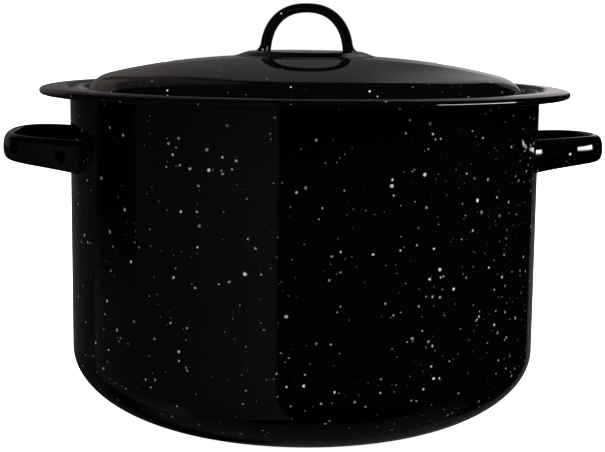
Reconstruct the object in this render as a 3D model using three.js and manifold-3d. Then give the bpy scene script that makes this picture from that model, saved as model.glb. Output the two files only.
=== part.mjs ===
// Enamelled water bath canner with its lid and its seven-jar wire rack.
// Millimetres, +Z up. The origin is the centre of the base on the floor,
// +X points to the right-hand side handle and -Y to the front.
import * as THREE from 'three';
import { mergeVertices } from 'three/addons/utils/BufferGeometryUtils.js';
import Module from 'manifold-3d';

const wasm = await Module();
wasm.setup();

// Shared by all pieces.
const turnSegments = 48;        // facets round the pot, the lid and the solids that trim the handles
const gap = 0.3;                // air left between pieces that are welded or rest on each other

// Pot: deep-drawn sheet with a big-radius corner, a neck fillet and a rolled flange.
const potSheet = 1;
const baseFlatRadius = 63.5;
const cornerWidth = 106;        // horizontal half-axis of the elliptical corner
const cornerHeight = 57;        // vertical half-axis of the elliptical corner
const wallTopRadius = 169.95;   // outer radius just under the neck
const neckRadius = 8;           // inner surface of the fillet between wall and flange
const rimTop = 246.55;
const rimBeadRadius = 2.5;
const rimBeadCentre = 189.24;
const rimCrownRadius = 24;      // the flange falls away towards the bead round this arc
const rimCrownTurn = Math.PI / 10;

// Lid: shallow dome, raised boss in the middle, steep shoulder, gutter with a curled edge.
const lidSheet = 0.9;
const domeTop = 269.3;
const domeFall = 5.32e-4;       // drop = domeFall * r^2 + domeFallSharp * r^4
const domeFallSharp = 8.68e-9;
const domeEdge = 141.7;
const shoulderLead = 8.3;       // the shoulder leaves the dome along its slope for this far
const shoulderTurn = new THREE.Vector2(154, 248.9);
const shoulderFoot = new THREE.Vector2(156.8, 244.1);
const bossTop = 271.6;
const bossFlatRadius = 38.5;
const bossBaseRadius = 55;
const gutterFall = 7.5;         // how far the curve into the gutter keeps to the shoulder's slope
const gutterRise = 8;           // and how far the curve out of it keeps to the edge's slope
const gutterSlope = Math.PI / 3;
const lidBeadRadius = 1.3;
const lidBeadAngle = Math.PI / 6; // where on the neck fillet the curled edge rests

// Side handles: a channel-section strap bent to a D and welded to the wall.
const sideHandleTip = 217.7;
const sideHandleStart = 166;    // where the curved part of the D begins
const sideHandleRootHalf = 58.6;
const sideHandlePower = 2.64;   // superellipse power of the D
const sideHandleHeight = 203.9; // strap centre at the tip
const sideStrapWidth = 19.1;
const sideStrapDrop = 2.1;      // the strap's centre line is this much lower at the wall
const sideStrapFlare = 3;       // the lower edge widens by this much at the wall
const sideStrapEase = 1.85;     // power with which the drop and the flare grow towards the wall
const sideStrapLean = 0.05;     // the lower edge stands out further than the upper, per mm of width
const sideHandleSink = 14;      // the strap runs on into the wall this far before it is trimmed
const sideFootProud = 2.6;      // the weld foot: how far it stands out, and how much wider it is
const sideFootHalf = 9.5;
const sideFootSpread = 1.5;
const sideFootInset = 2;
const sideHandleTilt = THREE.MathUtils.degToRad(-1.3);
const strapDepth = 7.4;
const strapCorner = 4.2;
const strapSheet = 1.7;

// Lid handle: the same kind of strap bent to an arch across the boss.
const lidHandleHalf = 34.3;
const lidHandleTop = 306.1;
const lidHandlePower = 2.3;
const lidStrapWidth = 15;
const lidStrapDepth = 6.8;
const lidHandleSink = 4;
// The arch isn't quite in line with the side handles, nor quite on the lid's centre.
const lidHandleTurn = THREE.MathUtils.degToRad(-13);
const lidHandleShift = 0.9;
const lidFootProud = 1.8;
const lidFootHalf = 5;
const lidFootSpread = 1;
const lidFootInset = 3.2;
const lidTrimRadius = 120;      // the solid that trims the lid handle's feet to the lid
const lidTrimDepth = 30;

// Jar rack: round wire rings, six bent dividers, straight wires under the jars, two bails.
const wire = 2;                 // wire radius
const wireSides = 6;
const ringZ = 16;               // centre height of the base and inner rings
const baseRingRadius = 128;     // rests in the pot's rounded corner
const innerRingRadius = 62;
const topRingRadius = 155;
const topRingZ = 90;
const jarCount = 6;             // outer jars; the seventh stands in the middle
const layerZ = ringZ + 2 * wire + gap;
const dividerInner = 52;
const dividerInnerTop = 62;
const dividerBendRadius = 136;
const dividerBendZ = 46;
const dividerBend = 5;
const crossWireStart = 20;
const crossWireEnd = 130.5;
const eyeletRadius = 4.4;
const eyeletWire = 1.6;
const eyeletSpread = 35;        // eyelets stand this far either side of the X axis
const bailLength = 90;
const bailHalf = 29;
const bailPin = 40;
const bailBend = 4;
const pivotZ = topRingZ + wire + gap + eyeletRadius + eyeletWire;
const pivotX = Math.sqrt(topRingRadius ** 2 - eyeletSpread ** 2);

const enamel = () => new THREE.MeshStandardMaterial({ color: 0x0a090a, roughness: 0.12 });
const chrome = () => new THREE.MeshStandardMaterial({ color: 0xc8cacd, roughness: 0.2, metalness: 1 });

const canner = new THREE.Group();

function add(name, geometry, material) {
  const mesh = new THREE.Mesh(geometry, material());
  mesh.name = name;
  canner.add(mesh);
  return mesh;
}

// ---- shapes ----------------------------------------------------------------

const point = (x, y) => new THREE.Vector2(x, y);

function arc(x, y, halfWidth, halfHeight, from, to, steps) {
  return new THREE.EllipseCurve(x, y, halfWidth, halfHeight, from, to, to < from).getPoints(steps);
}

// The angle of a triangle between sides a and b, opposite side c.
function cornerAngle(a, b, c) {
  return Math.acos((a ** 2 + b ** 2 - c ** 2) / (2 * a * b));
}

// A closed profile in (radius, height) turned about +Z.
function turned(profile) {
  return new THREE.LatheGeometry(profile, turnSegments).rotateX(Math.PI / 2);
}

// Superellipse arch from (-half, 0) over (0, height) to (half, 0).
function archPoints(half, height, power, steps) {
  const points = [];
  for (let i = 0; i <= steps; i += 1) {
    const angle = Math.PI * (i / steps - 0.5);
    const across = Math.sign(Math.sin(angle)) * Math.abs(Math.sin(angle)) ** (2 / power);
    points.push(point(half * across, height * Math.cos(angle) ** (2 / power)));
  }
  return points;
}

// A route through given points, with one extrusion step at each of them.
class Route extends THREE.Curve {
  constructor(points) {
    super();
    this.points = points;
    this.steps = points.length - 1;
  }

  getPointAt(u) {
    return this.points[Math.round(u * this.steps)].clone();
  }

  getTangentAt(u) {
    const i = Math.round(u * this.steps);
    const here = this.points[i];
    const tangent = new THREE.Vector3();
    if (i > 0) tangent.add(here.clone().sub(this.points[i - 1]).normalize());
    if (i < this.steps) tangent.add(this.points[i + 1].clone().sub(here).normalize());
    return tangent.normalize();
  }
}

function extruded(shape, points, curveSegments = 1) {
  const extrudePath = new Route(points);
  return new THREE.ExtrudeGeometry(shape, {
    steps: extrudePath.steps, curveSegments, bevelEnabled: false, extrudePath,
  });
}

// Round wire along a polyline whose inner corners are bent over the given length.
function bentWire(corners, bend) {
  const points = [corners[0]];
  for (let i = 1; i < corners.length - 1; i += 1) {
    const corner = corners[i];
    const before = corners[i - 1].clone().sub(corner).setLength(bend).add(corner);
    const after = corners[i + 1].clone().sub(corner).setLength(bend).add(corner);
    points.push(...new THREE.QuadraticBezierCurve3(before, corner, after).getPoints(4));
  }
  points.push(corners[corners.length - 1]);
  const section = new THREE.Shape(arc(0, 0, wire, wire, 0, 2 * Math.PI, wireSides).slice(0, wireSides));
  return extruded(section, points);
}

// Channel section: x across the strap, y from its outer face inwards.
function channel(width, depth) {
  const half = width / 2;
  const inner = half - strapSheet;
  const innerCorner = strapCorner - strapSheet;
  return new THREE.Shape([
    point(half, depth),
    ...arc(half - strapCorner, strapCorner, strapCorner, strapCorner, 0, -Math.PI / 2, 2),
    ...arc(strapCorner - half, strapCorner, strapCorner, strapCorner, -Math.PI / 2, -Math.PI, 2),
    point(-half, depth),
    point(-inner, depth),
    ...arc(strapCorner - half, strapCorner, innerCorner, innerCorner, Math.PI, 1.5 * Math.PI, 1),
    ...arc(half - strapCorner, strapCorner, innerCorner, innerCorner, 1.5 * Math.PI, 2 * Math.PI, 1),
    point(inner, depth),
  ]);
}

// ---- booleans --------------------------------------------------------------

function toSolid(geometry) {
  const bare = geometry.clone();
  bare.deleteAttribute('normal');
  bare.deleteAttribute('uv');
  const merged = mergeVertices(bare, 1e-4);
  const index = merged.index.array;
  const triangles = [];
  for (let i = 0; i < index.length; i += 3) {
    const [a, b, c] = [index[i], index[i + 1], index[i + 2]];
    if (a !== b && b !== c && c !== a) triangles.push(a, b, c);
  }
  return new wasm.Manifold(new wasm.Mesh({
    numProp: 3,
    vertProperties: new Float32Array(merged.attributes.position.array),
    triVerts: new Uint32Array(triangles),
  }));
}

function toGeometry(solid) {
  const mesh = solid.getMesh();
  const geometry = new THREE.BufferGeometry();
  geometry.setAttribute('position', new THREE.BufferAttribute(mesh.vertProperties, mesh.numProp));
  geometry.setIndex(new THREE.BufferAttribute(mesh.triVerts, 1));
  geometry.computeVertexNormals();
  return geometry;
}

// A flattened ball: the spread foot of a welded strap.
function pad(halfX, halfY, halfZ) {
  return new THREE.SphereGeometry(1, 12, 6).scale(halfX, halfY, halfZ);
}

// ---- pot -------------------------------------------------------------------

function potProfile() {
  const centreR = wallTopRadius - potSheet + neckRadius;
  const centreZ = rimTop - neckRadius;
  const reach = rimCrownRadius - rimBeadRadius;
  const crownR = rimBeadCentre - reach * Math.sin(rimCrownTurn);
  const crownZ = rimTop - rimCrownRadius;
  const beadZ = crownZ + reach * Math.cos(rimCrownTurn);
  // The flange's underside ends where its arc runs into the bead.
  const under = rimCrownRadius - potSheet;
  const underTurn = rimCrownTurn - cornerAngle(under, reach, rimBeadRadius);
  const beadStart = 1.5 * Math.PI - rimCrownTurn - cornerAngle(rimBeadRadius, reach, under);
  const beadEnd = 2.5 * Math.PI - rimCrownTurn;
  const crownStart = Math.PI / 2 - rimCrownTurn;
  const innerCornerWidth = cornerWidth - potSheet;
  const innerCornerHeight = cornerHeight - potSheet;
  return [
    point(0, 0),
    ...arc(baseFlatRadius, cornerHeight, cornerWidth, cornerHeight, -Math.PI / 2, 0, 9),
    ...arc(centreR, centreZ, neckRadius - potSheet, neckRadius - potSheet, Math.PI, Math.PI / 2, 3),
    ...arc(crownR, crownZ, under, under, Math.PI / 2, Math.PI / 2 - underTurn, 2),
    ...arc(rimBeadCentre, beadZ, rimBeadRadius, rimBeadRadius, beadStart, beadEnd, 7).slice(1, -1),
    ...arc(crownR, crownZ, rimCrownRadius, rimCrownRadius, crownStart, Math.PI / 2, 3),
    ...arc(centreR, centreZ, neckRadius, neckRadius, Math.PI / 2, Math.PI, 5),
    ...arc(baseFlatRadius, cornerHeight, innerCornerWidth, innerCornerHeight, 0, -Math.PI / 2, 7),
    point(0, potSheet),
  ];
}

// The D's outer line at strap height zero, from the front root round the tip to the back root.
function sideHandleRoute() {
  const lead = sideHandleStart - sideHandleSink;
  const reach = sideHandleTip - sideHandleStart;
  const curve = archPoints(sideHandleRootHalf, reach, sideHandlePower, 20);
  return [
    new THREE.Vector3(lead, -sideHandleRootHalf, 0),
    ...curve.map((p) => new THREE.Vector3(sideHandleStart + p.y, p.x, 0)),
    new THREE.Vector3(lead, sideHandleRootHalf, 0),
  ];
}

// Leans the strap, lowers it towards the wall and widens its lower edge there.
function shapeTowardsWall(geometry) {
  const position = geometry.attributes.position;
  for (let i = 0; i < position.count; i += 1) {
    const inward = Math.max(0, sideHandleTip - position.getX(i)) / (sideHandleTip - wallTopRadius);
    const z = position.getZ(i);
    const lower = Math.max(0, -z / (sideStrapWidth / 2));
    position.setX(i, position.getX(i) - sideStrapLean * z);
    position.setZ(i, z - inward ** sideStrapEase * (sideStrapDrop + sideStrapFlare * lower));
  }
  return geometry;
}

function sideHandle() {
  const strap = shapeTowardsWall(extruded(channel(sideStrapWidth, strapDepth), sideHandleRoute()));
  let solid = toSolid(strap);
  for (const side of [-1, 1]) {
    const azimuth = side * Math.asin((sideHandleRootHalf - sideFootInset) / wallTopRadius);
    const foot = pad(sideFootProud, sideFootHalf, sideStrapWidth / 2 + sideFootSpread)
      .translate(wallTopRadius, 0, -sideStrapDrop - sideStrapFlare / 2)
      .rotateZ(azimuth);
    solid = solid.add(toSolid(foot));
  }
  const placed = toGeometry(solid).rotateX(sideHandleTilt).translate(0, 0, sideHandleHeight);
  const height = rimTop - cornerHeight;
  const wallFoot = baseFlatRadius + cornerWidth;
  const wallSolid = new THREE.CylinderGeometry(wallTopRadius + gap, wallFoot + gap, height, turnSegments)
    .rotateX(Math.PI / 2)
    .translate(0, 0, cornerHeight + height / 2);
  return toGeometry(toSolid(placed).subtract(toSolid(wallSolid)));
}

// ---- lid -------------------------------------------------------------------

const domeHeight = (r) => domeTop - domeFall * r ** 2 - domeFallSharp * r ** 4;
const domeSlope = (r) => 2 * domeFall * r + 4 * domeFallSharp * r ** 3;

// The curled edge: the centre of its bead, and the angles at which the sheet's two faces leave it.
const lidBeadReach = neckRadius + lidBeadRadius + gap;
const lidBeadR = wallTopRadius - potSheet + neckRadius - lidBeadReach * Math.cos(lidBeadAngle);
const lidBeadZ = rimTop - neckRadius + lidBeadReach * Math.sin(lidBeadAngle);
const lidBeadGrip = Math.asin(lidSheet / 2 / lidBeadRadius);
const lidBeadStart = Math.PI + gutterSlope + lidBeadGrip;
const lidBeadEnd = 3 * Math.PI + gutterSlope - lidBeadGrip;

// The lid's upper surface from the curled edge to the axis, moved down by an offset.
function lidSurface(offset) {
  const drop = domeSlope(domeEdge);
  const shoulderFall = shoulderFoot.clone().sub(shoulderTurn).setLength(gutterFall);
  const edge = point(
    lidBeadR + lidBeadRadius * Math.cos(lidBeadEnd),
    lidBeadZ + lidBeadRadius * Math.sin(lidBeadEnd),
  );
  const gutter = new THREE.CubicBezierCurve(
    edge,
    point(-Math.cos(gutterSlope), -Math.sin(gutterSlope)).multiplyScalar(gutterRise).add(edge),
    shoulderFoot.clone().add(shoulderFall),
    shoulderFoot,
  ).getPoints(6);
  const shoulder = new THREE.CubicBezierCurve(
    point(domeEdge, domeHeight(domeEdge)),
    point(domeEdge + shoulderLead, domeHeight(domeEdge) - shoulderLead * drop),
    shoulderTurn,
    shoulderFoot,
  ).getPoints(5);
  const points = [...gutter, ...shoulder.reverse().slice(1)];
  for (let i = 1; i <= 5; i += 1) {
    const r = domeEdge + (bossBaseRadius - domeEdge) * (i / 5);
    points.push(point(r, domeHeight(r)));
  }
  const rise = bossTop - domeHeight(bossBaseRadius);
  for (let i = 1; i <= 4; i += 1) {
    const step = (1 - Math.cos(Math.PI * (i / 4))) / 2;
    const r = bossBaseRadius + (bossFlatRadius - bossBaseRadius) * (i / 4);
    points.push(point(r, bossTop - rise * (1 - step)));
  }
  points.push(point(0, bossTop));
  return points.map((p, i) => {
    const before = points[Math.max(i - 1, 0)];
    const after = points[Math.min(i + 1, points.length - 1)];
    const along = after.clone().sub(before).normalize();
    const onAxis = p.x === 0;
    return onAxis ? point(0, p.y + offset) : point(p.x + offset * along.y, p.y - offset * along.x);
  });
}

function lidProfile() {
  return [
    ...lidSurface(-lidSheet).reverse(),
    ...arc(lidBeadR, lidBeadZ, lidBeadRadius, lidBeadRadius, lidBeadStart, lidBeadEnd, 8).slice(1, -1),
    ...lidSurface(0),
  ];
}

function lidHandle() {
  const start = bossTop - lidHandleSink;
  const route = archPoints(lidHandleHalf, lidHandleTop - start, lidHandlePower, 20)
    .map((p) => new THREE.Vector3(p.x, 0, start + p.y));
  let solid = toSolid(extruded(channel(lidStrapWidth, lidStrapDepth), route));
  for (const side of [-1, 1]) {
    const foot = pad(lidFootHalf, lidStrapWidth / 2 + lidFootSpread, lidFootProud)
      .translate(side * (lidHandleHalf - lidFootInset), 0, bossTop);
    solid = solid.add(toSolid(foot));
  }
  const below = turned([
    point(0, domeTop - lidTrimDepth),
    point(lidTrimRadius, domeTop - lidTrimDepth),
    ...lidSurface(gap).filter((p) => p.x < lidTrimRadius),
  ]);
  const placed = toGeometry(solid).rotateZ(lidHandleTurn).translate(lidHandleShift, 0, 0);
  return toGeometry(toSolid(placed).subtract(toSolid(below)));
}

// ---- jar rack --------------------------------------------------------------

function ring(radius, segments) {
  return new THREE.TorusGeometry(radius, wire, wireSides, segments);
}

function divider() {
  return bentWire([
    new THREE.Vector3(topRingRadius - 2 * wire - gap, 0, topRingZ + wire),
    new THREE.Vector3(topRingRadius - 2 * wire - gap, 0, dividerBendZ),
    new THREE.Vector3(dividerBendRadius, 0, layerZ),
    new THREE.Vector3(dividerInner, 0, layerZ),
    new THREE.Vector3(dividerInner, 0, dividerInnerTop),
  ], dividerBend);
}

function crossWire() {
  const length = crossWireEnd - crossWireStart;
  return new THREE.CylinderGeometry(wire, wire, length, wireSides)
    .rotateZ(Math.PI / 2)
    .translate(crossWireStart + length / 2, 0, 0);
}

function eyelet() {
  return new THREE.TorusGeometry(eyeletRadius, eyeletWire, wireSides, 12).rotateX(Math.PI / 2);
}

// A bail lying flat: its two pins run outwards through the eyelets.
function bail() {
  return bentWire([
    new THREE.Vector3(0, -bailPin, 0),
    new THREE.Vector3(0, -bailHalf, 0),
    new THREE.Vector3(-bailLength, -bailHalf, 0),
    new THREE.Vector3(-bailLength, bailHalf, 0),
    new THREE.Vector3(0, bailHalf, 0),
    new THREE.Vector3(0, bailPin, 0),
  ], bailBend);
}

// ---- assembly --------------------------------------------------------------

add('pot_body', turned(potProfile()), enamel);
add('side_handle_right', sideHandle(), enamel);
add('side_handle_left', sideHandle(), enamel).rotation.z = Math.PI;
add('lid', turned(lidProfile()), enamel);
add('lid_handle', lidHandle(), enamel);

add('rack_base_ring', ring(baseRingRadius, 48), chrome).position.z = ringZ;
add('rack_inner_ring', ring(innerRingRadius, 32), chrome).position.z = ringZ;
add('rack_top_ring', ring(topRingRadius, 56), chrome).position.z = topRingZ;

for (let i = 0; i < jarCount; i += 1) {
  const azimuth = (2 * Math.PI * i) / jarCount;
  const cross = add(`rack_cross_wire_${i + 1}`, crossWire(), chrome);
  cross.position.z = layerZ;
  cross.rotation.z = azimuth;
  add(`rack_divider_${i + 1}`, divider(), chrome).rotation.z = azimuth + Math.PI / jarCount;
}

for (const [name, turn] of [['right', 0], ['left', Math.PI]]) {
  const side = new THREE.Group();
  side.rotation.z = turn;
  for (const [end, y] of [['front', -eyeletSpread], ['back', eyeletSpread]]) {
    const mesh = add(`rack_eyelet_${name}_${end}`, eyelet(), chrome);
    mesh.position.set(pivotX, turn ? -y : y, pivotZ);
    side.add(mesh);
  }
  const handle = add(`rack_handle_${name}`, bail(), chrome);
  handle.position.set(pivotX, 0, pivotZ);
  side.add(handle);
  canner.add(side);
}

export default canner;
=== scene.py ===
"""Enamelled water bath canner: the fine surfaces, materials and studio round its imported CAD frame.

Lengths are metres, +Z up, in the CAD frame: the origin is the centre of the base on the floor,
+X points to the right-hand side handle and -Y to the front.
"""
import math

import bmesh
import bpy
from mathutils import Matrix, Vector


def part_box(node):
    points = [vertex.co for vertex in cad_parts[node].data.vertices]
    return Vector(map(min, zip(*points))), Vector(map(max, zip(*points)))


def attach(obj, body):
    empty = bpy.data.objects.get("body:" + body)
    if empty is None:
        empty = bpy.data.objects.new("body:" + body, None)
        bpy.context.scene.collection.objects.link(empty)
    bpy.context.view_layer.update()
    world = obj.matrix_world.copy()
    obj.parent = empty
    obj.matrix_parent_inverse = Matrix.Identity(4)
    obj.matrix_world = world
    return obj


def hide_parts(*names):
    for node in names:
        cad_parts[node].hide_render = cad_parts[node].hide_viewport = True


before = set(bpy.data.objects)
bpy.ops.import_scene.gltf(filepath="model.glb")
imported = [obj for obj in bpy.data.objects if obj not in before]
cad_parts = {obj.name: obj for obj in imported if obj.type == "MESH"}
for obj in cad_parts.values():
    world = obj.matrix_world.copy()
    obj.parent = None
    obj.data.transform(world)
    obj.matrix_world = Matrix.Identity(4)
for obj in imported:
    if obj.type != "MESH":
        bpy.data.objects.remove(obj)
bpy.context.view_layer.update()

MM = 0.001
TAU = 2 * math.pi

# Pot. The outer sizes come from the CAD node, the sheet's shape repeats the design's values.
POT_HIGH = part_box("pot_body")[1]
RIM_RADIUS = POT_HIGH.x
RIM_TOP = POT_HIGH.z
POT_SHEET = 1 * MM
BASE_FLAT_RADIUS = 63.5 * MM
CORNER_WIDTH = 106 * MM
CORNER_HEIGHT = 57 * MM
WALL_RADIUS = 169.95 * MM
NECK_RADIUS = 8 * MM
RIM_BEAD_RADIUS = 2.5 * MM
RIM_CROWN_RADIUS = 24 * MM      # the flange falls away towards the bead round this arc
RIM_CROWN_TURN = 18             # degrees
RIM_CURL_END = -205             # degrees round the bead at which the rolled edge stops

# Lid. The shoulder's points are (radius, height).
LID_SHEET = 0.9 * MM
BOSS_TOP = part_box("lid")[1].z
BOSS_RISE = 2.3 * MM            # of the boss over where the dome's own crown would be
DOME_TOP = BOSS_TOP - BOSS_RISE
DOME_FALL = 0.532               # drop = DOME_FALL * r^2 + DOME_FALL_SHARP * r^4, in metres
DOME_FALL_SHARP = 8.68
DOME_EDGE = 141.7 * MM
SHOULDER_LEAD = 8.3 * MM        # how far the curve over the shoulder keeps to the dome's slope
SHOULDER_TURN = Vector((154, 248.9)) * MM
SHOULDER_FOOT = Vector((156.8, 244.1)) * MM
BOSS_FLAT_RADIUS = 38.5 * MM
BOSS_BASE_RADIUS = 55 * MM
GUTTER_FALL = 7.5 * MM          # how far the curve into the gutter keeps to the shoulder's slope
GUTTER_RISE = 8 * MM            # and how far the curve out of it keeps to the edge's slope
GUTTER_SLOPE = 60               # degrees
LID_BEAD_RADIUS = 1.3 * MM
LID_BEAD_ANGLE = math.radians(30)   # how far up the pot's neck fillet the edge rests
LID_SEAT_GAP = 0.3 * MM
LID_CURL_END = -120             # degrees round the bead at which the curled edge stops

# Straps: a sheet pressed to a channel, with a crowned back and curled lips.
STRAP_SHEET = 1.7 * MM
STRAP_CROWN_POWER = 2.5         # of the superellipse across the back
STRAP_LIP = 2.1 * MM
STRAP_LIP_TURN = 75             # degrees
STRAP_SECTION_SPACING = 0.8 * MM

# Side handles: a strap bent to a D.
SIDE_TIP = 217.7 * MM
SIDE_START = 166 * MM
SIDE_ROOT_HALF = 58.6 * MM
SIDE_POWER = 2.64
SIDE_HEIGHT = 203.9 * MM
SIDE_WIDTH = 19.1 * MM
SIDE_DEPTH = 7.4 * MM
SIDE_DROP = 2.1 * MM            # the strap comes down this much from its tip to the wall
SIDE_FLARE = 3 * MM             # and its lower edge this much more
SIDE_EASE = 1.85                # the power with which it does
SIDE_LEAN = 0.05                # the lower edge stands out further than the upper
SIDE_TILT = math.radians(-1.3)
SIDE_SINK = 0.5 * MM            # the ends reach this far into the wall
SIDE_WALL_REACH = 12 * MM       # the ends take on the wall's curve over this length
SIDE_FOOT_SPREAD = 4.5 * MM     # the strap's outer face swells this much at the weld
SIDE_FOOT_REACH = 11 * MM
SIDE_FOOT_POWER = 2.4
SIDE_RING_SPACING = 1.5 * MM

# Lid handle: the same kind of strap bent to an arch.
LID_HANDLE_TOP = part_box("lid_handle")[1].z
LID_HANDLE_HALF = 34.3 * MM
LID_HANDLE_SINK = 4 * MM        # the arch is drawn from this far under the boss's top
LID_HANDLE_POWER = 2.3
LID_HANDLE_WIDTH = 15 * MM
LID_HANDLE_DEPTH = 6.8 * MM
LID_HANDLE_TURN = math.radians(-13)
LID_HANDLE_SHIFT = 0.9 * MM
LID_HANDLE_END = 0.4 * MM       # the arch is cut off this far under the boss's top
LID_HANDLE_SEAT_REACH = 7 * MM  # the ends take on the lid's shape over this length
LID_FOOT_SPREAD = 3 * MM
LID_FOOT_REACH = 6 * MM
LID_FOOT_POWER = 2.2
LID_RING_SPACING = 1.2 * MM

# Jar rack. WIRE and EYELET_WIRE are radii.
WIRE = 2 * MM
EYELET_WIRE = 1.6 * MM
WELD_RADIUS = 1.7 * MM
WELD_GAP = 0.3 * MM
WIRE_END = ((0.0, 1.0), (0.2, 0.94), (0.38, 0.75), (0.45, 0.45))   # how far out and how wide, in radii
BASE_RING_LOW, BASE_RING_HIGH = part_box("rack_base_ring")
INNER_RING_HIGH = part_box("rack_inner_ring")[1]
TOP_RING_LOW, TOP_RING_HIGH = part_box("rack_top_ring")
RING_Z = (BASE_RING_LOW.z + BASE_RING_HIGH.z) / 2
BASE_RING_RADIUS = BASE_RING_HIGH.x - WIRE
INNER_RING_RADIUS = INNER_RING_HIGH.x - WIRE
TOP_RING_RADIUS = TOP_RING_HIGH.x - WIRE
TOP_RING_Z = (TOP_RING_LOW.z + TOP_RING_HIGH.z) / 2
LAYER_Z = RING_Z + 2 * WIRE + WELD_GAP
JAR_COUNT = 6
DIVIDER_INNER = 52 * MM
DIVIDER_INNER_TOP = 62 * MM
DIVIDER_OUTER = TOP_RING_RADIUS - 2 * WIRE - WELD_GAP
DIVIDER_BEND_RADIUS = 136 * MM
DIVIDER_BEND_Z = 46 * MM
DIVIDER_ROUNDING = 5 * MM
CROSS_WIRE_START = 20 * MM
CROSS_WIRE_END = 130.5 * MM
EYELET_RADIUS = 4.4 * MM
EYELET_SPREAD = 35 * MM
BAIL_LENGTH = 90 * MM
BAIL_HALF = 29 * MM
BAIL_PIN = 40 * MM
BAIL_ROUNDING = 4 * MM
PIVOT_X = math.sqrt(TOP_RING_RADIUS ** 2 - EYELET_SPREAD ** 2)
PIVOT_Z = TOP_RING_Z + WIRE + WELD_GAP + EYELET_RADIUS + EYELET_WIRE

# Enamel flecks, of two sizes: the grid cell that may hold one, its smallest and largest radius, and the
# share of the cells that do hold one.
LARGE_FLECK_CELL = 5.4 * MM
LARGE_FLECK_RADII = (0.65 * MM, 1.3 * MM)
LARGE_FLECK_SHARE = 0.27
SMALL_FLECK_CELL = 3.1 * MM
SMALL_FLECK_RADII = (0.3 * MM, 0.5 * MM)
SMALL_FLECK_SHARE = 0.16
FLECK_WANDER = 1.1 * MM         # how far noise bends their outlines
FLECK_FADE = 6 * MM             # the height over which they thin out to a barer surface

# Studio.
FLOOR_RADIUS = 9.0
DARK_LEVEL = 0.0015             # what the enamel mirrors between the panels

# Camera.
CAMERA_DISTANCE = 1.100
CAMERA_HEIGHT = 0.2962
CAMERA_BEARING = -0.0535        # radians round +Z from straight in front
CAMERA_PAN = 0.00061            # radians, as the pitch and roll
CAMERA_PITCH = 0.1386
CAMERA_ROLL = 0.0105
CAMERA_LENS = 89.20             # millimetres, as the sensor
CAMERA_SENSOR = 36


# ---- plane outlines ---------------------------------------------------------

def arc(centre, radii, start, end, steps):
    """Points on an ellipse from one angle to another, in degrees."""
    points = []
    for i in range(steps + 1):
        angle = math.radians(start + (end - start) * i / steps)
        first = centre[0] + radii[0] * math.cos(angle)
        second = centre[1] + radii[1] * math.sin(angle)
        points.append(Vector((first, second)))
    return points


def line(start, end, steps):
    """Points strictly between two ends."""
    return [start.lerp(end, i / steps) for i in range(1, steps)]


def bezier(controls, steps):
    """Points of a Bezier curve of any degree."""
    points = []
    for i in range(steps + 1):
        level = list(controls)
        while len(level) > 1:
            level = [a.lerp(b, i / steps) for a, b in zip(level, level[1:])]
        points.append(level[0].copy())
    return points


def resample(points, spacing):
    """The same route with evenly spaced points."""
    lengths = [(b - a).length for a, b in zip(points, points[1:])]
    total = sum(lengths)
    count = max(2, round(total / spacing))
    result = [points[0].copy()]
    segment, passed = 0, 0.0
    for i in range(1, count):
        target = total * i / count
        while passed + lengths[segment] < target:
            passed += lengths[segment]
            segment += 1
        result.append(points[segment].lerp(points[segment + 1], (target - passed) / lengths[segment]))
    result.append(points[-1].copy())
    return result


def directions(points):
    """Unit tangents of an open route."""
    last = len(points) - 1
    return [(points[min(i + 1, last)] - points[max(i - 1, 0)]).normalized() for i in range(last + 1)]


def right_of(along):
    return Vector((along.y, -along.x))


def half_round(centre, side, along, steps=6):
    """Points strictly inside a half circle that goes from centre + side round to centre - side."""
    return [
        centre + side * math.cos(math.pi * i / steps) + along * side.length * math.sin(math.pi * i / steps)
        for i in range(1, steps)
    ]


def strip(path, thickness, on_axis=False, spread=0.0):
    """Closed outline of a sheet: one face follows the path, the other lies to its right.

    A sheet that starts on the turning axis stays open there. Spread moves the path's face down the
    second axis, away from the back.
    """
    tangents = directions(path)
    sides = [right_of(t) for t in tangents]
    if on_axis:
        sides[0] = Vector((0, -1))
    face = [p - Vector((0, max(0.0, side.y) * spread)) for p, side in zip(path, sides)]
    back = [p + side * thickness for p, side in zip(path, sides)]
    outline = list(face)
    centre = (face[-1] + back[-1]) / 2
    outline += half_round(centre, face[-1] - centre, tangents[-1])
    outline += reversed(back)
    if not on_axis:
        centre = (face[0] + back[0]) / 2
        outline += half_round(centre, back[0] - centre, -tangents[0])
    return outline


# ---- meshes -----------------------------------------------------------------

def skin(rings, closed=False):
    """Points and faces of a surface through equal rings, with a face over each end unless it closes."""
    size = len(rings[0])
    points = [p for ring in rings for p in ring]
    pairs = list(zip(range(len(rings)), range(1, len(rings))))
    if closed:
        pairs.append((len(rings) - 1, 0))
    faces = []
    for a, b in pairs:
        for i in range(size):
            j = (i + 1) % size
            faces.append((a * size + i, a * size + j, b * size + j, b * size + i))
    if not closed:
        faces.append(tuple(range(size)))
        faces.append(tuple(range((len(rings) - 1) * size, len(rings) * size)))
    return points, faces


def lathe(outline, segments=192):
    """An outline in (radius, height) that starts and ends on the axis, turned about +Z."""
    points, rings = [], []
    for radius, height in outline:
        if radius < 1e-9:
            rings.append([len(points)] * segments)
            points.append(Vector((0, 0, height)))
            continue
        rings.append(list(range(len(points), len(points) + segments)))
        for i in range(segments):
            angle = TAU * i / segments
            points.append(Vector((radius * math.cos(angle), radius * math.sin(angle), height)))
    faces = []
    for lower, upper in zip(rings, rings[1:]):
        for i in range(segments):
            j = (i + 1) % segments
            corners = (lower[i], lower[j], upper[j], upper[i])
            faces.append(tuple(dict.fromkeys(corners)))
    return points, [face for face in faces if len(face) > 2]


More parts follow.
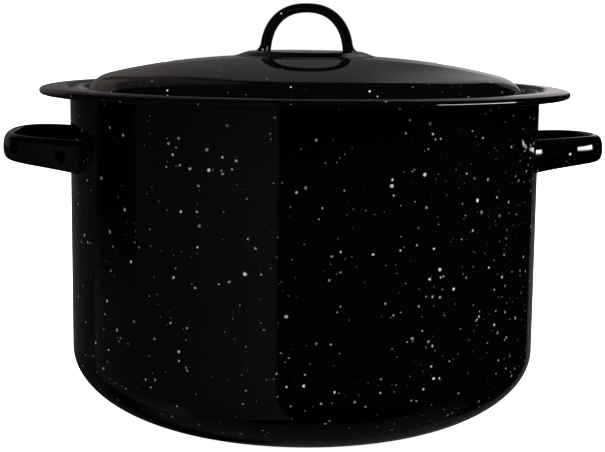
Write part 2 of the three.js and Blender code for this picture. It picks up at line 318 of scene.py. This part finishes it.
def tube(route, radius, sides=14, closed=False):
    """Round wire along a route, with rounded ends."""
    count = len(route)
    if closed:
        tangents = [(route[(i + 1) % count] - route[i - 1]).normalized() for i in range(count)]
    else:
        tangents = directions(route)
    across = Vector((0, 0, 1)) if abs(tangents[0].z) < 0.9 else Vector((0, 1, 0))
    angles = [TAU * k / sides for k in range(sides)]
    rings = []
    for i, (place, along) in enumerate(zip(route, tangents)):
        across = (across - along * across.dot(along)).normalized()
        other = along.cross(across)
        stations = WIRE_END[:1]
        if not closed and i == 0:
            stations = [(-shift, scale) for shift, scale in reversed(WIRE_END)]
        if not closed and i == count - 1:
            stations = WIRE_END
        for shift, scale in stations:
            centre = place + along * (shift * radius)
            width = radius * scale
            rings.append([centre + (across * math.cos(a) + other * math.sin(a)) * width for a in angles])
    return skin(rings, closed)


def weld(centre):
    """A small ball of weld metal between two wires."""
    bm = bmesh.new()
    bmesh.ops.create_icosphere(bm, subdivisions=2, radius=WELD_RADIUS, matrix=Matrix.Translation(centre))
    points = [v.co.copy() for v in bm.verts]
    faces = [tuple(v.index for v in face.verts) for face in bm.faces]
    bm.free()
    return points, faces


def moved(part, matrix):
    points, faces = part
    return [matrix @ p for p in points], faces


def piece(name, parts, material, body, node):
    """Joins parts into one object that rides on a body and stands for a CAD node."""
    points, faces = [], []
    for part_points, part_faces in parts:
        base = len(points)
        points += part_points
        faces += [tuple(base + i for i in face) for face in part_faces]
    mesh = bpy.data.meshes.new(name)
    mesh.from_pydata(points, [], faces)
    bm = bmesh.new()
    bm.from_mesh(mesh)
    bmesh.ops.recalc_face_normals(bm, faces=bm.faces)
    bm.to_mesh(mesh)
    bm.free()
    mesh.shade_smooth()
    mesh.materials.append(material)
    result = bpy.data.objects.new(name, mesh)
    bpy.context.scene.collection.objects.link(result)
    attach(result, body)
    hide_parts(node)


# ---- pot and lid ------------------------------------------------------------

def pot_surface():
    """The pot's inner and upper face, from the middle of the floor to the end of the rolled rim."""
    inner_width = CORNER_WIDTH - POT_SHEET
    inner_height = CORNER_HEIGHT - POT_SHEET
    corner = arc((BASE_FLAT_RADIUS, CORNER_HEIGHT), (inner_width, inner_height), -90, 0, 40)
    neck_centre = (WALL_RADIUS - POT_SHEET + NECK_RADIUS, RIM_TOP - NECK_RADIUS)
    neck = arc(neck_centre, (NECK_RADIUS, NECK_RADIUS), 180, 90, 16)
    turn = math.radians(RIM_CROWN_TURN)
    reach = RIM_CROWN_RADIUS - RIM_BEAD_RADIUS
    bead_radius = RIM_RADIUS - RIM_BEAD_RADIUS
    crown_centre = (bead_radius - reach * math.sin(turn), RIM_TOP - RIM_CROWN_RADIUS)
    crown = arc(crown_centre, (RIM_CROWN_RADIUS, RIM_CROWN_RADIUS), 90, 90 - RIM_CROWN_TURN, 10)
    bead_centre = (bead_radius, crown_centre[1] + reach * math.cos(turn))
    bead = arc(bead_centre, (RIM_BEAD_RADIUS, RIM_BEAD_RADIUS), 90 - RIM_CROWN_TURN, RIM_CURL_END, 36)
    middle = Vector((0, POT_SHEET))
    return (
        [middle] + line(middle, corner[0], 8) + corner + line(corner[-1], neck[0], 24)
        + neck + line(neck[-1], crown[0], 6) + crown + bead[1:]
    )


def dome_height(r):
    return DOME_TOP - DOME_FALL * r ** 2 - DOME_FALL_SHARP * r ** 4


def boss_height(r):
    """Height of the lid's upper face from the axis to the foot of the boss."""
    if r <= BOSS_FLAT_RADIUS:
        return BOSS_TOP
    passed = (BOSS_BASE_RADIUS - r) / (BOSS_BASE_RADIUS - BOSS_FLAT_RADIUS)
    step = (1 - math.cos(math.pi * passed)) / 2
    foot = dome_height(BOSS_BASE_RADIUS)
    return foot + (BOSS_TOP - foot) * step


def lid_height(r):
    return boss_height(r) if r < BOSS_BASE_RADIUS else dome_height(r)


def lid_surface():
    """The lid's upper face from the middle of the boss to the end of the curled edge."""
    steps = 90
    radii = [DOME_EDGE * i / steps for i in range(steps + 1)]
    dome = [Vector((r, lid_height(r))) for r in radii]
    drop = 2 * DOME_FALL * DOME_EDGE + 4 * DOME_FALL_SHARP * DOME_EDGE ** 3
    lead = dome[-1] + Vector((1, -drop)) * SHOULDER_LEAD
    shoulder = bezier([dome[-1], lead, SHOULDER_TURN, SHOULDER_FOOT], 24)
    steep = (SHOULDER_FOOT - SHOULDER_TURN).normalized()
    reach = NECK_RADIUS + LID_BEAD_RADIUS + LID_SEAT_GAP
    bead_centre = Vector((
        WALL_RADIUS - POT_SHEET + NECK_RADIUS - reach * math.cos(LID_BEAD_ANGLE),
        RIM_TOP - NECK_RADIUS + reach * math.sin(LID_BEAD_ANGLE),
    ))
    bead = arc(bead_centre, (LID_BEAD_RADIUS, LID_BEAD_RADIUS), 90 + GUTTER_SLOPE, LID_CURL_END, 32)
    slope = Vector((1, math.tan(math.radians(GUTTER_SLOPE)))).normalized()
    controls = [SHOULDER_FOOT, SHOULDER_FOOT + steep * GUTTER_FALL, bead[0] - slope * GUTTER_RISE, bead[0]]
    return dome + shoulder[1:] + bezier(controls, 28)[1:] + bead[1:]


# ---- straps -----------------------------------------------------------------

def arch(half, height, power, steps=600):
    """Superellipse from (half, 0) over (0, height) to (-half, 0)."""
    points = []
    for i in range(steps + 1):
        angle = math.pi * i / steps
        across = math.copysign(abs(math.cos(angle)) ** (2 / power), math.cos(angle))
        points.append(Vector((half * across, height * max(0.0, math.sin(angle)) ** (2 / power))))
    return points


def channel_face(width, depth):
    """Outer face of a strap's section, in (across, inwards): a crowned back with curled lips."""
    lip = STRAP_LIP
    back = depth - lip
    crown = resample(arch(width / 2, back, STRAP_CROWN_POWER), STRAP_SECTION_SPACING)
    crown = [Vector((p.x, back - p.y)) for p in crown]
    before = arc((width / 2 - lip, back), (lip, lip), STRAP_LIP_TURN, 0, 5)
    after = arc((lip - width / 2, back), (lip, lip), 180, 180 - STRAP_LIP_TURN, 5)
    return before[:-1] + crown + after[1:]


def strap_rings(route, face, place, spread_at):
    """Rings of a strap along a plane route.

    place(point, across, to_root) puts a point of the plane, moved across it, in space. spread_at(to_root)
    says how much the section swells. to_root is how far along the strap its nearer end is.
    """
    rings = []
    lengths = [0.0]
    for a, b in zip(route, route[1:]):
        lengths.append(lengths[-1] + (b - a).length)
    for station, along, passed in zip(route, directions(route), lengths):
        to_root = min(passed, lengths[-1] - passed)
        outline = strip(face, STRAP_SHEET, spread=spread_at(to_root))
        outward = right_of(along)
        rings.append([place(station - outward * p.y, p.x, to_root) for p in outline])
    return rings


def fade(distance, reach, power=2.0):
    """1 at distance 0, falling to 0 at the reach."""
    return max(0.0, 1 - distance / reach) ** power


def side_handle_part():
    """The right-hand side handle: a D in the plane of X and Y, then eased down towards the wall."""
    wall = WALL_RADIUS - SIDE_SINK

    def wall_x(y):
        return math.sqrt(wall ** 2 - y ** 2)

    root_x = wall_x(SIDE_ROOT_HALF)
    bow = arch(SIDE_ROOT_HALF, SIDE_TIP - SIDE_START, SIDE_POWER)
    curve = [Vector((SIDE_START + p.y, -p.x)) for p in bow]
    route = [Vector((root_x, curve[0].y))] + curve + [Vector((root_x, curve[-1].y))]
    tilt = Matrix.Rotation(SIDE_TILT, 3, "X")

    def place(point, across, to_root):
        x, y = point
        x += (wall_x(y) - root_x) * fade(to_root, SIDE_WALL_REACH)
        inward = max(0.0, SIDE_TIP - x) / (SIDE_TIP - WALL_RADIUS)
        lower = max(0.0, -across / (SIDE_WIDTH / 2))
        z = across - inward ** SIDE_EASE * (SIDE_DROP + SIDE_FLARE * lower)
        return tilt @ Vector((x - SIDE_LEAN * across, y, z)) + Vector((0, 0, SIDE_HEIGHT))

    def spread_at(to_root):
        return SIDE_FOOT_SPREAD * fade(to_root, SIDE_FOOT_REACH, SIDE_FOOT_POWER)

    face = channel_face(SIDE_WIDTH, SIDE_DEPTH)
    return skin(strap_rings(resample(route, SIDE_RING_SPACING), face, place, spread_at))


def lid_handle_part():
    """An arch in the plane of X and Z, then turned and shifted to its place on the boss."""
    start = BOSS_TOP - LID_HANDLE_SINK
    lowest = BOSS_TOP - LID_HANDLE_END
    curve = arch(LID_HANDLE_HALF, LID_HANDLE_TOP - start, LID_HANDLE_POWER)
    route = [Vector((p.x, start + p.y)) for p in curve if start + p.y > lowest]

    def place(point, across, to_root):
        x, z = point
        z += (lid_height(math.hypot(x, across)) - BOSS_TOP) * fade(to_root, LID_HANDLE_SEAT_REACH)
        return Vector((x, across, z))

    def spread_at(to_root):
        return LID_FOOT_SPREAD * fade(to_root, LID_FOOT_REACH, LID_FOOT_POWER)

    face = channel_face(LID_HANDLE_WIDTH, LID_HANDLE_DEPTH)
    strap = skin(strap_rings(resample(route, LID_RING_SPACING), face, place, spread_at))
    turn = Matrix.Rotation(LID_HANDLE_TURN, 4, "Z")
    return moved(strap, Matrix.Translation((LID_HANDLE_SHIFT, 0, 0)) @ turn)


# ---- jar rack ---------------------------------------------------------------

def ring_route(radius, height, steps):
    return [
        Vector((radius * math.cos(TAU * i / steps), radius * math.sin(TAU * i / steps), height))
        for i in range(steps)
    ]


def bent(corners, bend):
    """A route through corners, each but the first and last rounded over the given length."""
    route = [corners[0]]
    for before, corner, after in zip(corners, corners[1:], corners[2:]):
        first = corner + (before - corner).normalized() * bend
        last = corner + (after - corner).normalized() * bend
        route += bezier([first, corner, last], 9)
    route.append(corners[-1])
    return route


def divider_parts():
    """A wire that comes down the side, runs inwards and stands up near the middle, with its welds."""
    route = bent([
        Vector((DIVIDER_OUTER, 0, TOP_RING_Z + WIRE)),
        Vector((DIVIDER_OUTER, 0, DIVIDER_BEND_Z)),
        Vector((DIVIDER_BEND_RADIUS, 0, LAYER_Z)),
        Vector((DIVIDER_INNER, 0, LAYER_Z)),
        Vector((DIVIDER_INNER, 0, DIVIDER_INNER_TOP)),
    ], DIVIDER_ROUNDING)
    return [
        tube(route, WIRE),
        weld(Vector((INNER_RING_RADIUS, 0, RING_Z + WIRE))),
        weld(Vector((BASE_RING_RADIUS, 0, RING_Z + WIRE))),
        weld(Vector((TOP_RING_RADIUS - WIRE, 0, TOP_RING_Z))),
    ]


def cross_wire_parts():
    """A straight wire from near the middle to the base ring, with its welds."""
    route = [Vector((CROSS_WIRE_START, 0, LAYER_Z)), Vector((CROSS_WIRE_END, 0, LAYER_Z))]
    return [
        tube(route, WIRE),
        weld(Vector((INNER_RING_RADIUS, 0, RING_Z + WIRE))),
        weld(Vector((BASE_RING_RADIUS, 0, RING_Z + WIRE))),
    ]


def bail_part():
    """A bail lying flat, its pins through the eyelets of the right-hand side."""
    route = bent([
        Vector((0, -BAIL_PIN, 0)),
        Vector((0, -BAIL_HALF, 0)),
        Vector((-BAIL_LENGTH, -BAIL_HALF, 0)),
        Vector((-BAIL_LENGTH, BAIL_HALF, 0)),
        Vector((0, BAIL_HALF, 0)),
        Vector((0, BAIL_PIN, 0)),
    ], BAIL_ROUNDING)
    return moved(tube(route, WIRE), Matrix.Translation((PIVOT_X, 0, PIVOT_Z)))


def eyelet_parts(y):
    """A small ring round the bail's pin, welded on the top ring."""
    centre = Vector((PIVOT_X, y, PIVOT_Z))
    steps = 24
    route = [
        centre + Vector((math.cos(TAU * i / steps), 0, math.sin(TAU * i / steps))) * EYELET_RADIUS
        for i in range(steps)
    ]
    return [tube(route, EYELET_WIRE, 10, closed=True), weld(Vector((PIVOT_X, y, TOP_RING_Z + WIRE)))]


# ---- materials --------------------------------------------------------------

class Nodes:
    """Adds nodes to a tree. Inputs are values or the output sockets of other nodes."""

    def __init__(self, tree):
        self.tree = tree
        tree.nodes.clear()

    def add(self, kind, inputs=None, **settings):
        node = self.tree.nodes.new(kind)
        for key, value in settings.items():
            setattr(node, key, value)
        for key, value in (inputs or {}).items():
            if isinstance(value, bpy.types.NodeSocket):
                self.tree.links.new(value, node.inputs[key])
            else:
                node.inputs[key].default_value = value
        return node

    def math(self, operation, a, b=0.0):
        return self.add("ShaderNodeMath", {0: a, 1: b}, operation=operation).outputs[0]

    def ramp(self, value, start, end, low=0.0, high=1.0):
        """Smooth step of a value from low to high between start and end."""
        inputs = {"Value": value, "From Min": start, "From Max": end, "To Min": low, "To Max": high}
        return self.add("ShaderNodeMapRange", inputs, interpolation_type="SMOOTHSTEP").outputs["Result"]

    def noise(self, vector, scale, detail=2.0):
        inputs = {"Vector": vector, "Scale": scale, "Detail": detail}
        return self.add("ShaderNodeTexNoise", inputs).outputs["Fac"]

    def blend(self, factor, a, b):
        node = self.add("ShaderNodeMix", data_type="RGBA")
        for key, value in ((0, factor), (6, a), (7, b)):
            if isinstance(value, bpy.types.NodeSocket):
                self.tree.links.new(value, node.inputs[key])
            else:
                node.inputs[key].default_value = value
        return node.outputs[2]

    def bump(self, height, distance, normal=None):
        inputs = {"Height": height, "Distance": distance, "Strength": 1.0}
        if normal:
            inputs["Normal"] = normal
        return self.add("ShaderNodeBump", inputs).outputs["Normal"]


def new_material(name):
    material = bpy.data.materials.new(name)
    material.use_nodes = True
    return material, Nodes(material.node_tree)


def specks(nodes, position, cell, radii, share):
    """Mask and brightness of flecks: a share of the cells of a loose 3-D grid holds one each."""
    grid = nodes.add("ShaderNodeTexVoronoi", {"Vector": position, "Scale": 1 / cell, "Randomness": 1.0})
    # A cell's colour is tied to where its point lies, so it is scrambled once more.
    scrambled = nodes.add("ShaderNodeTexWhiteNoise", {"Vector": grid.outputs["Color"]})
    random = nodes.add("ShaderNodeSeparateColor", {"Color": scrambled.outputs["Color"]})
    smallest, largest = (radius / cell for radius in radii)
    skewed = nodes.math("POWER", random.outputs["Red"], 2.0)
    radius = nodes.math("MULTIPLY_ADD", skewed, largest - smallest)
    radius.node.inputs[2].default_value = smallest
    inside = nodes.math("SUBTRACT", radius, grid.outputs["Distance"])
    soft = nodes.ramp(inside, -0.2 * smallest, 0.6 * smallest)
    present = nodes.math("LESS_THAN", random.outputs["Green"], share)
    return nodes.math("MULTIPLY", soft, present), random.outputs["Blue"]


def fleck_density(nodes, position, bare_from, bare_amount):
    """Loose clouds, thicker towards the right-hand side, and thinner above a height. The thickening to the
    right is partly the enamel's own uneven spread and partly painted light: the side the key light falls on
    gets more white flecks, so it reads lighter.
    """
    place = nodes.add("ShaderNodeSeparateXYZ", {"Vector": position})
    side, height = place.outputs["X"], place.outputs["Z"]
    clouds = nodes.ramp(nodes.noise(position, 26.0, 1.0), 0.36, 0.62, 0.85, 1.35)
    # Painted light in part: more white flecks towards +X, the side lit by the key light, so that side reads
    # lighter.
    right_side_flecks_and_painted_light = nodes.ramp(side, -0.3 * WALL_RADIUS, 0.7 * WALL_RADIUS, 0.85, 1.35)
    bare = nodes.ramp(height, bare_from, bare_from + FLECK_FADE, 1.0, bare_amount)
    return nodes.math("MULTIPLY", bare, nodes.math("MULTIPLY", clouds, right_side_flecks_and_painted_light))


def ragged(nodes, position):
    """The position pushed about by fine noise, which makes the flecks' outlines uneven."""
    wander = nodes.add("ShaderNodeTexNoise", {"Vector": position, "Scale": 420.0, "Detail": 1.0})
    offset = nodes.add(
        "ShaderNodeVectorMath", {0: wander.outputs["Color"], 1: (0.5, 0.5, 0.5)}, operation="SUBTRACT")
    bend = nodes.add("ShaderNodeVectorMath", {0: offset.outputs[0], "Scale": FLECK_WANDER}, operation="SCALE")
    return nodes.add("ShaderNodeVectorMath", {0: position, 1: bend.outputs[0]}, operation="ADD").outputs[0]


def fleck_mask(nodes, position, density, amount, size):
    """How white the enamel is: large flecks of many brightnesses, and small fainter ones."""
    place = ragged(nodes, position)
    radii = [radius * size for radius in LARGE_FLECK_RADII]
    share = nodes.math("MULTIPLY", density, LARGE_FLECK_SHARE * amount)
    large, large_light = specks(nodes, place, LARGE_FLECK_CELL, radii, share)
    share = nodes.math("MULTIPLY", density, SMALL_FLECK_SHARE * amount)
    small, small_light = specks(nodes, place, SMALL_FLECK_CELL, SMALL_FLECK_RADII, share)
    large = nodes.math("MULTIPLY", large, nodes.ramp(large_light, 0.0, 1.0, 0.3, 1.0))
    small = nodes.math("MULTIPLY", small, nodes.ramp(small_light, 0.0, 1.0, 0.2, 0.6))
    return nodes.math("MAXIMUM", large, small)


def enamel(name, amount=1.0, size=1.0, bare_from=1.0, bare_amount=1.0):
    """Glossy black vitreous enamel with white flecks.

    amount scales how many flecks there are, and size the large ones' radii. Above the height bare_from
    only the share bare_amount of them is left.
    """
    material, nodes = new_material(name)
    position = nodes.add("ShaderNodeTexCoord").outputs["Object"]
    density = fleck_density(nodes, position, bare_from, bare_amount)
    flecks = fleck_mask(nodes, position, density, amount, size)
    tone = nodes.blend(nodes.noise(position, 60.0), (0.0009, 0.0005, 0.0007, 1), (0.0017, 0.0011, 0.0014, 1))
    colour = nodes.blend(flecks, tone, (0.78, 0.77, 0.75, 1))
    roughness = nodes.ramp(nodes.noise(position, 90.0, 3.0), 0.3, 0.7, 0.035, 0.06)
    waves = nodes.bump(nodes.noise(position, 13.0, 1.0), 0.12 * MM)
    peel = nodes.bump(nodes.noise(position, 260.0, 2.0), 0.004 * MM, waves)
    shader = nodes.add("ShaderNodeBsdfPrincipled", {
        "Base Color": colour, "Roughness": roughness, "Normal": peel, "IOR": 1.5,
    })
    nodes.add("ShaderNodeOutputMaterial", {"Surface": shader.outputs["BSDF"]})
    return material


def chrome():
    """Bright plated wire, a little duller and warmer in patches."""
    material, nodes = new_material("rack_chrome")
    position = nodes.add("ShaderNodeTexCoord").outputs["Object"]
    patches = nodes.noise(position, 45.0, 3.0)
    colour = nodes.blend(patches, (0.70, 0.71, 0.73, 1), (0.56, 0.56, 0.55, 1))
    roughness = nodes.ramp(patches, 0.3, 0.75, 0.12, 0.28)
    scratches = nodes.bump(nodes.noise(position, 900.0, 2.0), 0.01 * MM)
    shader = nodes.add("ShaderNodeBsdfPrincipled", {
        "Base Color": colour, "Roughness": roughness, "Normal": scratches, "Metallic": 0.8,
    })
    nodes.add("ShaderNodeOutputMaterial", {"Surface": shader.outputs["BSDF"]})
    return material


# ---- studio -----------------------------------------------------------------

def add_floor():
    """A pale disc that neither shows in the enamel nor lights it."""
    steps = 96
    mesh = bpy.data.meshes.new("floor")
    mesh.from_pydata(ring_route(FLOOR_RADIUS, 0.0, steps), [], [tuple(range(steps))])
    material, nodes = new_material("floor_paint")
    position = nodes.add("ShaderNodeTexCoord").outputs["Object"]
    colour = nodes.blend(nodes.noise(position, 3.0), (0.9, 0.9, 0.9, 1), (0.93, 0.93, 0.93, 1))
    shader = nodes.add("ShaderNodeBsdfPrincipled", {
        "Base Color": colour, "Roughness": 0.9, "Specular IOR Level": 0.0,
        "Emission Color": (1, 1, 1, 1), "Emission Strength": 1.0,
    })
    nodes.add("ShaderNodeOutputMaterial", {"Surface": shader.outputs["BSDF"]})
    mesh.materials.append(material)
    floor = bpy.data.objects.new("floor", mesh)
    bpy.context.scene.collection.objects.link(floor)
    floor.visible_glossy = False
    floor.visible_diffuse = False


def add_light(name, place, target, size, power):
    """A soft panel that lights the object and its flecks but isn't mirrored in the enamel."""
    light = bpy.data.lights.new(name, "AREA")
    light.shape = "RECTANGLE"
    light.size, light.size_y = size
    light.energy = power
    panel = bpy.data.objects.new(name, light)
    panel.location = place
    panel.rotation_euler = (Vector(target) - Vector(place)).to_track_quat("-Z", "Y").to_euler()
    panel.visible_glossy = False
    bpy.context.scene.collection.objects.link(panel)


def card(nodes, bearing, elevation, bearings, elevations, soft, level):
    """A soft-edged panel of the mirrored studio, between two bearings and two elevations in degrees."""
    masks = []
    for angle, (low, high) in ((bearing, bearings), (elevation, elevations)):
        masks.append(nodes.ramp(angle, low - soft, low + soft))
        masks.append(nodes.ramp(angle, high - soft, high + soft, 1.0, 0.0))
    product = level
    for mask in masks:
        product = nodes.math("MULTIPLY", mask, product)
    return product


def backdrop_panel(nodes, bearing, elevation):
    """The panel behind the object. It is brightest on its right, and most of all low down there.

    Its top edge slopes down to the left, and it starts above the horizon panel.
    """
    low_left = nodes.ramp(bearing, -2.0, 6.0, 0.09, 0.073)
    low_level = nodes.math("ADD", low_left, nodes.ramp(bearing, 8.5, 15.0, 0.0, 0.42))
    high_left = nodes.ramp(bearing, -8.0, -3.0, 0.05, 0.09)
    high_level = nodes.math("ADD", high_left, nodes.ramp(bearing, 6.0, 14.0, 0.0, 0.19))
    rise = nodes.ramp(elevation, 10.0, 24.0)
    level = nodes.math(
        "ADD",
        nodes.math("MULTIPLY", high_level, rise),
        nodes.math("MULTIPLY", low_level, nodes.math("SUBTRACT", 1.0, rise)),
    )
    sloped = nodes.math("ADD", elevation, nodes.ramp(bearing, -12.0, 1.0, 21.0, 0.0))
    panel = card(nodes, bearing, sloped, (-60, 21), (-90, 32), 1.5, level)
    return nodes.math("MULTIPLY", panel, nodes.ramp(elevation, 5.5, 8.5))


def mirrored_studio(nodes, bearing, elevation):
    """Strength of what the enamel mirrors, as a sum of panels over a dark ground."""
    def panel(bearings, elevations, soft, level):
        return card(nodes, bearing, elevation, bearings, elevations, soft, level)

    horizon_left = nodes.ramp(bearing, -8.0, 4.0, 0.115, 0.155)
    horizon_level = nodes.math("ADD", horizon_left, nodes.ramp(bearing, 6.0, 13.0, 0.0, 0.46))
    strip_level = nodes.ramp(bearing, -45.0, -6.0, 0.022, 0.08)
    front_level = nodes.ramp(bearing, -165.0, -95.0, 0.08, 0.035)
    panels = [
        # The bright one on the right, which draws the crisp highlights.
        panel((85, 127), (-0.4, 8), 1.4, 22.0),
        # Behind the object, above the horizon.
        backdrop_panel(nodes, bearing, elevation),
        panel((-46, -6), (7, 48), 3.0, 0.05),
        panel((-46, -16), (12, 26), 3.0, 0.1),
        panel((20, 30), (4, 20), 2.0, 0.1),
        # The horizon, and the strip under its left-hand part.
        panel((-60, 18), (-2.5, 7), 1.0, horizon_level),
        panel((-60, 2), (-13, -2), 4.0, strip_level),
        # The table behind the object, from its left to straight down.
        panel((-60, -10), (-32, -12), 4.0, 0.014),
        panel((-90, -55), (-60, -9.5), 2.0, 0.035),
        panel((-90, 90), (-95, -46), 8.0, 0.03),
        # The table behind the object, right of the middle, brighter towards the horizon.
        panel((0, 21), (-46, -2), 3.0, nodes.ramp(elevation, -35.0, -8.0, 0.03, 0.16)),
        panel((21, 34), (-46, -6), 2.5, nodes.ramp(elevation, -35.0, -8.0, 0.03, 0.09)),
        # The left-hand part of the camera's side.
        panel((-165, -90), (-75, 30), 1.2, front_level),
        panel((-180, -165), (-1, 25), 1.2, 0.075),
    ]
    total = DARK_LEVEL
    for strength in panels:
        total = nodes.math("ADD", strength, total)
    return total


def add_world():
    """White to the eye, an even fill on matt surfaces, and a dark studio with panels in the gloss."""
    world = bpy.data.worlds.new("studio")
    bpy.context.scene.world = world
    world.use_nodes = True
    nodes = Nodes(world.node_tree)
    way = nodes.add("ShaderNodeSeparateXYZ", {"Vector": nodes.add("ShaderNodeTexCoord").outputs["Generated"]})
    x, y, z = (way.outputs[axis] for axis in "XYZ")
    # Bearing 0 is straight behind the object, +90 is its right, +-180 the camera's side.
    bearing = nodes.math("MULTIPLY", nodes.math("ARCTAN2", x, y), math.degrees(1))
    elevation = nodes.math("MULTIPLY", nodes.math("ARCSINE", z), math.degrees(1))
    overhead = nodes.ramp(elevation, -10.0, 65.0, 0.05, 1.7)
    matt = nodes.add("ShaderNodeBackground", {"Color": (1, 1, 1, 1), "Strength": overhead})
    tint = nodes.blend(nodes.ramp(bearing, -10.0, 4.0), (1, 0.915, 0.86, 1), (1, 0.95, 0.965, 1))
    strength = mirrored_studio(nodes, bearing, elevation)
    gloss = nodes.add("ShaderNodeBackground", {"Color": tint, "Strength": strength})
    plain = nodes.add("ShaderNodeBackground", {"Color": (1, 1, 1, 1), "Strength": 1.0})
    path = nodes.add("ShaderNodeLightPath").outputs
    mirrored = nodes.add("ShaderNodeMixShader", {
        0: path["Is Glossy Ray"], 1: matt.outputs[0], 2: gloss.outputs[0],
    })
    seen = nodes.add("ShaderNodeMixShader", {
        0: path["Is Camera Ray"], 1: mirrored.outputs[0], 2: plain.outputs[0],
    })
    nodes.add("ShaderNodeOutputWorld", {"Surface": seen.outputs[0]})
    world.cycles.sampling_method = "NONE"


def add_camera():
    camera = bpy.data.objects.new("camera", bpy.data.cameras.new("camera"))
    camera.data.sensor_width = CAMERA_SENSOR
    camera.data.sensor_fit = "HORIZONTAL"
    camera.data.lens = CAMERA_LENS
    place = Matrix.Rotation(CAMERA_BEARING, 3, "Z") @ Vector((0, -CAMERA_DISTANCE, CAMERA_HEIGHT))
    turn = Matrix.Rotation(CAMERA_BEARING + CAMERA_PAN, 3, "Z")
    forward = turn @ Vector((0, math.cos(CAMERA_PITCH), -math.sin(CAMERA_PITCH)))
    right = turn @ Vector((1, 0, 0))
    axes = Matrix((right, right.cross(forward), -forward)).transposed()
    rolled = axes @ Matrix.Rotation(CAMERA_ROLL, 3, "Z")
    camera.matrix_world = Matrix.Translation(place) @ rolled.to_4x4()
    bpy.context.scene.collection.objects.link(camera)
    bpy.context.scene.camera = camera


# ---- the object -------------------------------------------------------------

def add_pot():
    body_enamel = enamel("enamel_pot", bare_from=RIM_TOP - NECK_RADIUS, bare_amount=0.15)
    handle_enamel = enamel("enamel_side_handles", amount=0.4)
    outline = strip(pot_surface(), POT_SHEET, on_axis=True)
    piece("pot_shell", [lathe(outline)], body_enamel, "pot", "pot_body")
    handle = side_handle_part()
    for name, turn in (("right", 0.0), ("left", math.pi)):
        part = moved(handle, Matrix.Rotation(turn, 4, "Z"))
        piece(f"side_strap_{name}", [part], handle_enamel, "pot", f"side_handle_{name}")


def add_lid():
    dome_from = SHOULDER_TURN.y + 2 * MM
    lid_enamel = enamel("enamel_lid", size=0.65, bare_from=dome_from, bare_amount=0.12)
    handle_enamel = enamel("enamel_lid_handle", amount=0.4)
    outline = strip(lid_surface(), LID_SHEET, on_axis=True)
    piece("lid_shell", [lathe(outline)], lid_enamel, "lid", "lid")
    piece("lid_strap", [lid_handle_part()], handle_enamel, "lid", "lid_handle")


def add_rack():
    metal = chrome()

    def wire_piece(name, parts, body="rack"):
        piece(name + "_wire", parts, metal, body, name)

    wire_piece("rack_base_ring", [tube(ring_route(BASE_RING_RADIUS, RING_Z, 128), WIRE, closed=True)])
    wire_piece("rack_inner_ring", [tube(ring_route(INNER_RING_RADIUS, RING_Z, 80), WIRE, closed=True)])
    wire_piece("rack_top_ring", [tube(ring_route(TOP_RING_RADIUS, TOP_RING_Z, 144), WIRE, closed=True)])
    for i in range(JAR_COUNT):
        across = Matrix.Rotation(TAU * i / JAR_COUNT, 4, "Z")
        between = Matrix.Rotation(TAU * (i + 0.5) / JAR_COUNT, 4, "Z")
        wire_piece(f"rack_cross_wire_{i + 1}", [moved(part, across) for part in cross_wire_parts()])
        wire_piece(f"rack_divider_{i + 1}", [moved(part, between) for part in divider_parts()])
    for side, turn, sign in (("right", 0.0, 1), ("left", math.pi, -1)):
        turned = Matrix.Rotation(turn, 4, "Z")
        for end, y in (("front", -EYELET_SPREAD), ("back", EYELET_SPREAD)):
            wire_piece(f"rack_eyelet_{side}_{end}", [moved(part, turned) for part in eyelet_parts(sign * y)])
        handle = f"rack_handle_{side}"
        wire_piece(handle, [moved(bail_part(), turned)], body=handle)


add_camera()
add_world()
add_floor()
add_light("key", place=(1.3, -0.9, 1.2), target=(0, 0, 0.12), size=(1.2, 1.2), power=26)
add_light("fill", place=(-1.2, -1.4, 1.3), target=(0, 0, 0.12), size=(1.4, 1.4), power=6)
add_light("top", place=(0, 0.2, 2.0), target=(0, 0, 0.1), size=(1.6, 1.6), power=14)
bpy.context.scene.view_settings.view_transform = "Standard"
add_pot()
add_lid()
add_rack()
